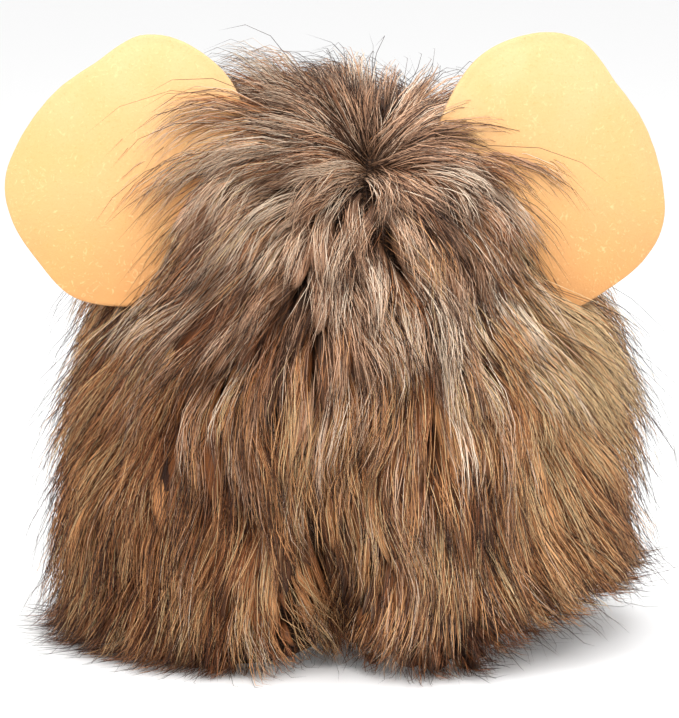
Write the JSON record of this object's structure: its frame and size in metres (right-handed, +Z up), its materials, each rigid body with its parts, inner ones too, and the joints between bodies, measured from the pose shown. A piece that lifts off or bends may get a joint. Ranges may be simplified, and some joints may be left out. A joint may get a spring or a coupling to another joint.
{
  "type": "pet lion mane wig",
  "caption": "Lion mane wig for a pet: a hollow hood of long faux fur, open at the neck and face, with two padded felt ears.",
  "frame": {"origin": "on the surface that the hem rests on, under the middle of the whole object", "axes": "+Z up; +X from ear to ear, to the right seen from the back of the head; +Y towards the face opening; -Y the back with the crown whorl"},
  "size_m": [0.3324, 0.2528, 0.3067],
  "materials": {
    "fur": "long pile, brown with darker tips",
    "felt": "brushed felt",
    "tape": "hook-and-loop tape"
  },
  "bodies": {
    "root": {"fur_panel_left": "fur", "fur_panel_right": "fur", "ear_left_back": "felt", "ear_left_face": "felt", "ear_right_back": "felt", "ear_right_face": "felt", "chin_tape": "tape"}
  },
  "joints": []
}
